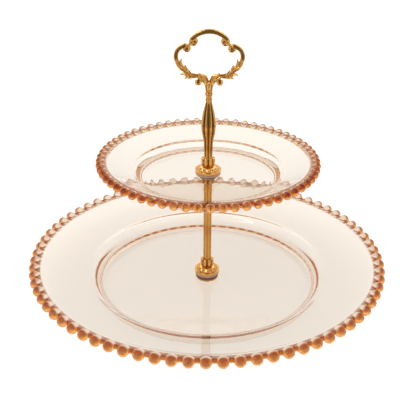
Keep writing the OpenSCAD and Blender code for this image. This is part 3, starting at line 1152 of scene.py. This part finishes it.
class BentRod:
    """A round rod bent in the upright plane, its end spun round one peg after another."""

    def __init__(self, x: float, z: float, heading: float, radius: float, depth: float = 0.0) -> None:
        """Adds the rod's first ring.

        Args:
            x: Start across.
            z: Start height.
            heading: Direction in degrees, 0 to the right and 90 up.
            radius: The rod's radius.
            depth: Place of the rod's middle front to back.
        """
        self.place = Vector((x, depth, z))
        self.heading = heading
        self.radius = radius
        clear_selection()
        bpy.ops.mesh.primitive_circle_add(
            vertices=14,
            radius=radius,
            fill_type="NOTHING",
            location=self.place,
            rotation=(0, math.radians(90 - heading), 0),
        )
        self.obj = bpy.context.active_object
        bpy.ops.object.transform_apply(location=True, rotation=True, scale=True)
        bpy.ops.object.mode_set(mode="EDIT")
        bpy.ops.mesh.select_all(action="SELECT")

    def bend(self, degrees: float, peg: float, turn: Turn, end_radius: float | None = None) -> None:
        """Bends the rod round a peg.

        Args:
            degrees: Angle of the bend.
            peg: Distance from the peg to the rod's middle.
            turn: Which way.
            end_radius: The rod's radius at the end of the bend.
        """
        steps = max(2, round(degrees / 11))
        target = self.radius if end_radius is None else end_radius
        shrink = (target / self.radius) ** (1 / steps)
        side = turn.value
        for _ in range(steps):
            angle = math.radians(self.heading)
            out = Vector((-math.sin(angle), 0, math.cos(angle))) * side
            centre = self.place + out * peg
            step = math.radians(degrees / steps)
            bpy.ops.mesh.spin(steps=1, angle=step, center=centre, axis=(0, side, 0))
            self.heading += math.degrees(step) * side
            self.place = centre + Matrix.Rotation(step, 3, (0, -side, 0)) @ (self.place - centre)
            self._scale(shrink)
        self.radius = target

    def bend_to(self, x: float, z: float, end_radius: float) -> None:
        """Bends the rod in one arc so that it ends at a point.

        Args:
            x: End across.
            z: End height.
            end_radius: The rod's radius there.
        """
        chord = Vector((x - self.place.x, 0, z - self.place.z))
        off = math.degrees(math.atan2(chord.z, chord.x)) - self.heading
        off = (off + 180) % 360 - 180
        turn = Turn.LEFT if off > 0 else Turn.RIGHT
        half = max(abs(off), 0.5)
        peg = chord.length / (2 * math.sin(math.radians(half)))
        self.bend(2 * half, peg, turn, end_radius)

    def straight(self, length: float, end_radius: float | None = None) -> None:
        """Draws the rod straight on, to a new radius if one is given."""
        angle = math.radians(self.heading)
        move = Vector((math.cos(angle), 0, math.sin(angle))) * length
        bpy.ops.mesh.extrude_region()
        bpy.ops.transform.translate(value=move)
        self.place = self.place + move
        if end_radius is not None:
            self._scale(end_radius / self.radius)
            self.radius = end_radius

    def _scale(self, share: float) -> None:
        """Scales the open end about its middle."""
        bpy.ops.transform.resize(value=(share,) * 3, center_override=self.place)

    def done(self) -> bpy.types.Object:
        """Closes both ends and hands back the rod."""
        close_ends(self.obj)
        finish_mesh(self.obj, 60)
        return self.obj


@dataclass
class Handle:
    """The scrolled ring handle: arch, side lobes, leaves and the forked neck, cast in one."""

    node: str = "handle"
    rod_r: float = 1.9 * MM
    half_w: float = 28 * MM
    voxel: float = 0.22 * MM

    def build(self, finishes: Finishes) -> bpy.types.Object:
        """Bends every rod, melts them into one casting and dresses it.

        Args:
            finishes: The shared materials.

        Returns:
            The handle.
        """
        low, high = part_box(self.node)
        self.base, self.top = low.z, high.z
        parts = self._arch()
        parts += self._side_scroll()
        parts += self._leaves()
        parts += self._fork()
        clear_selection()
        for part in parts:
            part.select_set(True)
        bpy.context.view_layer.objects.active = parts[0]
        bpy.ops.object.join()
        half = parts[0]
        pick_only(half)
        bpy.ops.object.duplicate()
        other = bpy.context.active_object
        bpy.ops.object.mode_set(mode="EDIT")
        bpy.ops.mesh.select_all(action="SELECT")
        bpy.ops.transform.resize(value=(-1, 1, 1), center_override=(0, 0, 0))
        bpy.ops.mesh.normals_make_consistent(inside=False)
        bpy.ops.object.mode_set(mode="OBJECT")
        neck = self._neck()
        clear_selection()
        for part in (other, neck, half):
            part.select_set(True)
        bpy.context.view_layer.objects.active = half
        bpy.ops.object.join()
        apply_modifier(half, "REMESH", mode="VOXEL", voxel_size=self.voxel, use_smooth_shade=True)
        apply_modifier(half, "SMOOTH", factor=0.5, iterations=2)
        finish_mesh(half, 180)
        return settle(half, "handle_casting", finishes.gold, Body.HANDLE, [self.node])

    def _at(self, height: float) -> float:
        """Height in the frame of a height over the handle's foot, given in millimetres."""
        return self.base + height * MM

    def _curl(self, rod: BentRod, turn: Turn) -> None:
        """Winds the rod's end into a small scroll."""
        rod.bend(100, 2.7 * MM, turn, 1.05 * MM)
        rod.bend(120, 2.35 * MM, turn, 0.85 * MM)
        rod.bend(130, 1.7 * MM, turn, 0.75 * MM)
        rod.bend(140, 0.9 * MM, turn, 0.65 * MM)

    def _web(self, x: float, z: float, radius: float) -> bpy.types.Object:
        """Thin rounded disc that closes the middle of a scroll.

        Args:
            x: Place across, in millimetres.
            z: Height over the handle's foot, in millimetres.
            radius: Radius in millimetres.

        Returns:
            The disc.
        """
        clear_selection()
        bpy.ops.mesh.primitive_uv_sphere_add(
            segments=20, ring_count=12, radius=radius * MM, location=(x * MM, 0, self._at(z))
        )
        bpy.ops.transform.resize(value=(1, 0.30, 1))
        bpy.ops.object.transform_apply(location=True, rotation=True, scale=True)
        return bpy.context.active_object

    def _band(self, start: tuple[float, float, float], bends: Sequence[Bend]) -> list[bpy.types.Object]:
        """One bent band of the ring: a core rod between four thin edge beads.

        Args:
            start: Place across, height and heading, the first two in millimetres.
            bends: Degrees, peg distance and radius in millimetres, and turn of each bend.

        Returns:
            The rods.
        """
        x, z, heading = start
        side = math.radians(heading + 90)
        made = []
        for offset, depth, thin in (
            (0.0, 0.0, 0.0), (0.95, 0.85, 0.85), (-0.95, 0.85, 0.85), (0.95, -0.85, 0.85),
            (-0.95, -0.85, 0.85),
        ):  # fmt: skip
            rod = BentRod(
                (x + offset * math.cos(side)) * MM, self._at(z + offset * math.sin(side)), heading,
                self.rod_r - thin * MM, depth * MM,
            )  # fmt: skip
            for degrees, peg, radius, turn in bends:
                rod.bend(degrees, (peg - offset * turn.value) * MM, turn, radius * MM - thin * MM)
            made.append(rod.done())
        return made

    def _arch(self) -> list[bpy.types.Object]:
        """Right half of the arch, ending in its scroll."""
        crown = (self.top - self.base - self.rod_r) / MM - 0.8
        made = self._band((0.0, crown, 0.0), [(51, 19.5, 1.8, Turn.RIGHT)])
        rod = BentRod(0, self._at(crown), 0, 0.8 * MM)
        rod.bend(51, 19.5 * MM, Turn.RIGHT, 1.6 * MM)
        self._curl(rod, Turn.RIGHT)
        return made + [rod.done(), self._web(12.7, 43.8, 3.2), self._web(12.5, 43.9, 1.3)]

    def _side_scroll(self) -> list[bpy.types.Object]:
        """Right side lobe: up into its scroll, and down along the sweep to the scroll at the neck."""
        start = (self.half_w / MM, 30.6)
        made = self._band((*start, 90.0), [(84, 9.5, 1.7, Turn.LEFT)])
        made += self._band((*start, -90.0), [(24, 9.5, 1.8, Turn.RIGHT), (20, 21, 1.6, Turn.RIGHT)])
        up = BentRod(start[0] * MM, self._at(start[1]), 90, 0.8 * MM)
        up.bend(84, 9.5 * MM, Turn.LEFT, 1.55 * MM)
        self._curl(up, Turn.LEFT)
        made.append(up.done())
        down = BentRod(start[0] * MM, self._at(start[1]), -90, 0.8 * MM)
        down.bend(24, 9.5 * MM, Turn.RIGHT)
        down.bend(68, 21 * MM, Turn.RIGHT, 1.45 * MM)
        down.straight(1.2 * MM)
        down.bend(20, 6.0 * MM, Turn.LEFT, 1.3 * MM)
        self._curl(down, Turn.LEFT)
        made.append(down.done())
        link = BentRod(14.0 * MM, self._at(43.2), -44, 1.4 * MM)
        link.straight(4.4 * MM, 1.4 * MM)
        made.append(link.done())
        webs = [self._web(*web) for web in ((19.2, 37.6, 3.2), (9.2, 8.4, 3.0))]
        return made + webs

    def _leaves(self) -> list[bpy.types.Object]:
        """Pointed leaves of the sheath between the lobe and the sweep."""
        made = []
        for depth, start, ends in (
            (0.9, (15.0, 15.0, 32), ((22.0, 21.0, 1.7), (23.3, 28.6, 0.6))),
            (-0.9, (15.0, 15.0, 32), ((22.0, 21.0, 1.7), (23.3, 28.6, 0.6))),
            (0.0, (12.0, 13.9, 16), ((18.0, 18.0, 1.8), (20.3, 23.4, 0.6))),
            (0.0, (13.0, 13.2, 14), ((20.0, 15.4, 1.8), (24.4, 14.6, 0.6))),
            (0.0, (11.0, 12.8, 4), ((17.0, 12.9, 1.7), (20.8, 11.4, 0.6))),
            (1.0, (17.0, 15.4, 36), ((24.2, 20.8, 1.6), (27.9, 28.5, 0.9))),
            (-1.0, (17.0, 15.4, 36), ((24.2, 20.8, 1.6), (27.9, 28.5, 0.9))),
        ):
            x, z, heading = start
            rod = BentRod(x * MM, self._at(z), heading, 0.9 * MM, depth * MM)
            for end_x, end_z, radius in ends:
                rod.bend_to(end_x * MM, self._at(end_z), radius * MM)
            made.append(rod.done())
        return made

    def _fork(self) -> list[bpy.types.Object]:
        """Right arm of the fork, a leaf of three ribs that ends in a blunt tip."""
        made = []
        for depth, x, ends in (
            (0.9, 1.0, ((3.0, 10.4, 1.7), (9.2, 16.0, 0.8))),
            (-0.9, 1.0, ((3.0, 10.4, 1.7), (9.2, 16.0, 0.8))),
            (0.7, 1.6, ((4.6, 9.2, 1.3), (10.6, 13.6, 0.9))),
            (-0.7, 1.6, ((4.6, 9.2, 1.3), (10.6, 13.6, 0.9))),
            (0.0, 0.6, ((1.6, 9.6, 1.6), (6.8, 14.4, 0.9))),
        ):
            rod = BentRod(x * MM, self._at(2.0), 88, 1.6 * MM, depth * MM)
            for end_x, end_z, radius in ends:
                rod.bend_to(end_x * MM, self._at(end_z), radius * MM)
            made.append(rod.done())
        return made

    def _neck(self) -> bpy.types.Object:
        """Turned neck that stands on the captive ring."""
        lathe = Lathe(32)
        lathe.begin(0.3 * MM, self.base)
        outline = (
            (3.1, 0.0), (3.3, 0.5), (3.1, 1.3), (3.0, 2.4), (3.2, 4.0), (3.5, 6.0), (2.6, 8.2),
            (0.4, 9.2),
        )  # fmt: skip
        lathe.rings((radius * MM, self._at(height)) for radius, height in outline)
        close_ends(lathe.obj)
        return lathe.done(60)


# ---------------------------------------------------------------- screws


@dataclass
class Screws:
    """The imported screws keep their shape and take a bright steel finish."""

    nodes: tuple[str, ...] = ("base_screw", "middle_stud", "handle_stud")

    def build(self, finishes: Finishes) -> None:
        """Gives each screw its finish."""
        for name in self.nodes:
            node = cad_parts[name]
            if not node.material_slots:
                node.data.materials.append(finishes.steel)
            for slot in node.material_slots:
                slot.material = finishes.steel
            LOG.info("%s keeps its packed shape", name)


# ---------------------------------------------------------------- studio


@dataclass
class Studio:
    """Camera, pale floor, soft light and the dark flags that give polished metal its contrast."""

    lens_px: float = 776.0
    frame_px: float = 416.0
    distance: float = 0.713
    elevation: float = 27.03
    roll: float = 0.65
    aim: tuple[float, float, float] = (0.0003, 0.0, 0.0800)
    sky_level: float = 1.08
    glass_dim: float = 0.6
    below_level: float = 0.10
    table_front: float = 0.36
    table_size: float = 8.0
    table_gap: float = 0.2 * MM
    table_glow: float = 0.79
    bounces: int = 96

    def build(self) -> None:
        """Sets the camera, the floor and the light."""
        self._camera()
        self._floor()
        self._sky()
        self._lamps()
        self._render_depth()

    def _camera(self) -> None:
        """Places the camera at its height over the table."""
        rise = math.radians(self.elevation)
        back = Vector((0, -math.cos(rise), math.sin(rise)))
        bpy.ops.object.camera_add()
        camera = bpy.context.active_object
        camera.name = "camera"
        camera.data.sensor_width = 36.0
        camera.data.lens = self.lens_px / self.frame_px * camera.data.sensor_width
        camera.data.clip_start = 0.02
        camera.data.clip_end = 50
        turn = (-back).to_track_quat("-Z", "Y").to_matrix().to_4x4()
        lean = Matrix.Rotation(math.radians(self.roll), 4, "Z")
        camera.matrix_world = (
            Matrix.Translation(Vector(self.aim) + back * self.distance) @ turn @ lean
        )
        bpy.context.scene.camera = camera

    def _floor(self) -> None:
        """Lays a wide pale table under the foot ring, open a little way in front of the camera."""
        clear_selection()
        middle = self.table_size / 2 - self.table_front
        bpy.ops.mesh.primitive_plane_add(
            size=self.table_size, location=(0, middle, -self.table_gap)
        )
        bpy.ops.object.transform_apply(location=True, rotation=True, scale=True)
        floor = bpy.context.active_object
        floor.name = "floor"
        material, net = new_net("pale_floor")
        cloud = net.noise(2.0, 2.0)
        shell = net.add(
            "ShaderNodeBsdfPrincipled",
            None,
            {
                "Base Color": net.blend(cloud, (0.34, 0.34, 0.34, 1), (0.36, 0.36, 0.36, 1)),
                "Roughness": 0.6,
                "Specular IOR Level": 0.1,
                "Emission Color": (1.0, 1.0, 1.0, 1.0),
                "Emission Strength": self.table_glow,
            },
        )
        hidden = net.add("ShaderNodeBsdfTransparent")
        seen = net.add("ShaderNodeMixShader", None, {0: net.mirrored(), 1: shell, 2: hidden})
        net.add("ShaderNodeOutputMaterial", None, {"Surface": seen})
        floor.data.materials.append(material)

    def _sky(self) -> None:
        """Fills the studio with soft white light, with dark flags that only reflections see."""
        world = bpy.data.worlds.new("studio")
        bpy.context.scene.world = world
        world.use_nodes = True
        net = Net(world.node_tree)
        way = net.add("ShaderNodeTexCoord", output="Generated")
        parts = net.add("ShaderNodeSeparateXYZ", None, {0: way})
        across, along, up = (Wire(net, parts.socket.node.outputs[i]) for i in range(3))
        side = net.add("ShaderNodeMath", {"operation": "ABSOLUTE"}, {0: across})
        boxes = net.add(
            "ShaderNodeValToRGB",
            {
                "stops": (
                    (0.0, (0.02, 0.02, 0.02)),
                    (0.22, (0.03, 0.03, 0.03)),
                    (0.34, (1.0, 1.0, 1.0)),
                    (0.62, (1.15, 1.15, 1.15)),
                    (0.74, (0.12, 0.12, 0.12)),
                    (0.92, (0.10, 0.10, 0.10)),
                    (1.0, (0.7, 0.7, 0.7)),
                )
            },
            {0: side},
        )
        behind = net.smooth(along, -0.1, 0.5, 0.0, 0.8)
        overhead = net.smooth(up, 0.75, 0.95, 0.0, 0.5)
        seen = boxes + behind + overhead
        path = net.mirrored()
        low = net.smooth(up, -0.75, -0.25, 0.55, 0.0)
        rest = (1 - path) * (self.sky_level - net.glassy() * self.glass_dim)
        level = path * (seen + low + self.below_level) + rest
        light = net.add("ShaderNodeBackground", None, {"Color": (1, 1, 1, 1), "Strength": level})
        net.add("ShaderNodeOutputWorld", None, {"Surface": light})

    def _lamps(self) -> None:
        """Hangs one large soft lamp over the left shoulder for highlights."""
        clear_selection()
        bpy.ops.object.light_add(type="AREA", location=(-0.7, -0.9, 1.3))
        lamp = bpy.context.active_object
        lamp.name = "key"
        lamp.data.shape = "DISK"
        lamp.data.size = 0.5
        lamp.data.energy = 3.0
        lamp.rotation_euler = (Vector((0, 0, 0.1)) - lamp.location).to_track_quat("-Z", "Y").to_euler()

    def _render_depth(self) -> None:
        """Lets light travel far enough along the inside of the glass."""
        scene = bpy.context.scene
        scene.view_settings.view_transform = "Standard"
        scene.view_settings.look = "None"
        scene.cycles.max_bounces = self.bounces
        scene.cycles.transmission_bounces = self.bounces
        scene.cycles.glossy_bounces = self.bounces
        scene.cycles.diffuse_bounces = 4
        scene.cycles.sample_clamp_indirect = 6.0
        scene.cycles.use_denoising = True


# ---------------------------------------------------------------- the stand


def lower_plate() -> BeadedPlate:
    """Sizes of the lower plate."""
    return BeadedPlate(
        name="lower_plate_glass", node="lower_plate", body=Body.BASE,
        floor_r=98.8 * MM, well_r=113.6 * MM, wall_h=9.5 * MM,
        circle_r=160.89 * MM, bead_r=4.9 * MM, beads=76, bead_h=18.7 * MM,
        foot_h=6 * MM, bead_shift=0.0,
    )  # fmt: skip


def upper_plate() -> BeadedPlate:
    """Sizes of the upper plate."""
    return BeadedPlate(
        name="upper_plate_glass", node="upper_plate", body=Body.UPPER_TIER,
        floor_r=59 * MM, well_r=70 * MM, wall_h=7.5 * MM,
        circle_r=96 * MM, bead_r=3.75 * MM, beads=62, bead_h=14 * MM,
        foot_h=2 * MM, bead_shift=0.23,
    )  # fmt: skip


def main() -> None:
    """Builds every piece of the stand in order and sets the studio."""
    logging.basicConfig(level=logging.INFO, format="%(name)s: %(message)s")
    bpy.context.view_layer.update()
    finishes = Finishes.make()
    for plate in (lower_plate(), upper_plate()):
        plate.build(finishes)
    for node, body in (
        ("lower_plate_top_gasket", Body.BASE),
        ("lower_plate_bottom_gasket", Body.BASE),
        ("upper_plate_top_gasket", Body.UPPER_TIER),
        ("upper_plate_bottom_gasket", Body.UPPER_TIER),
    ):
        SoftWasher(node, body).build(finishes)
    Column().build(finishes)
    Handle().build(finishes)
    Screws().build(finishes)
    Studio().build()


if __name__ == "__main__":
    main()
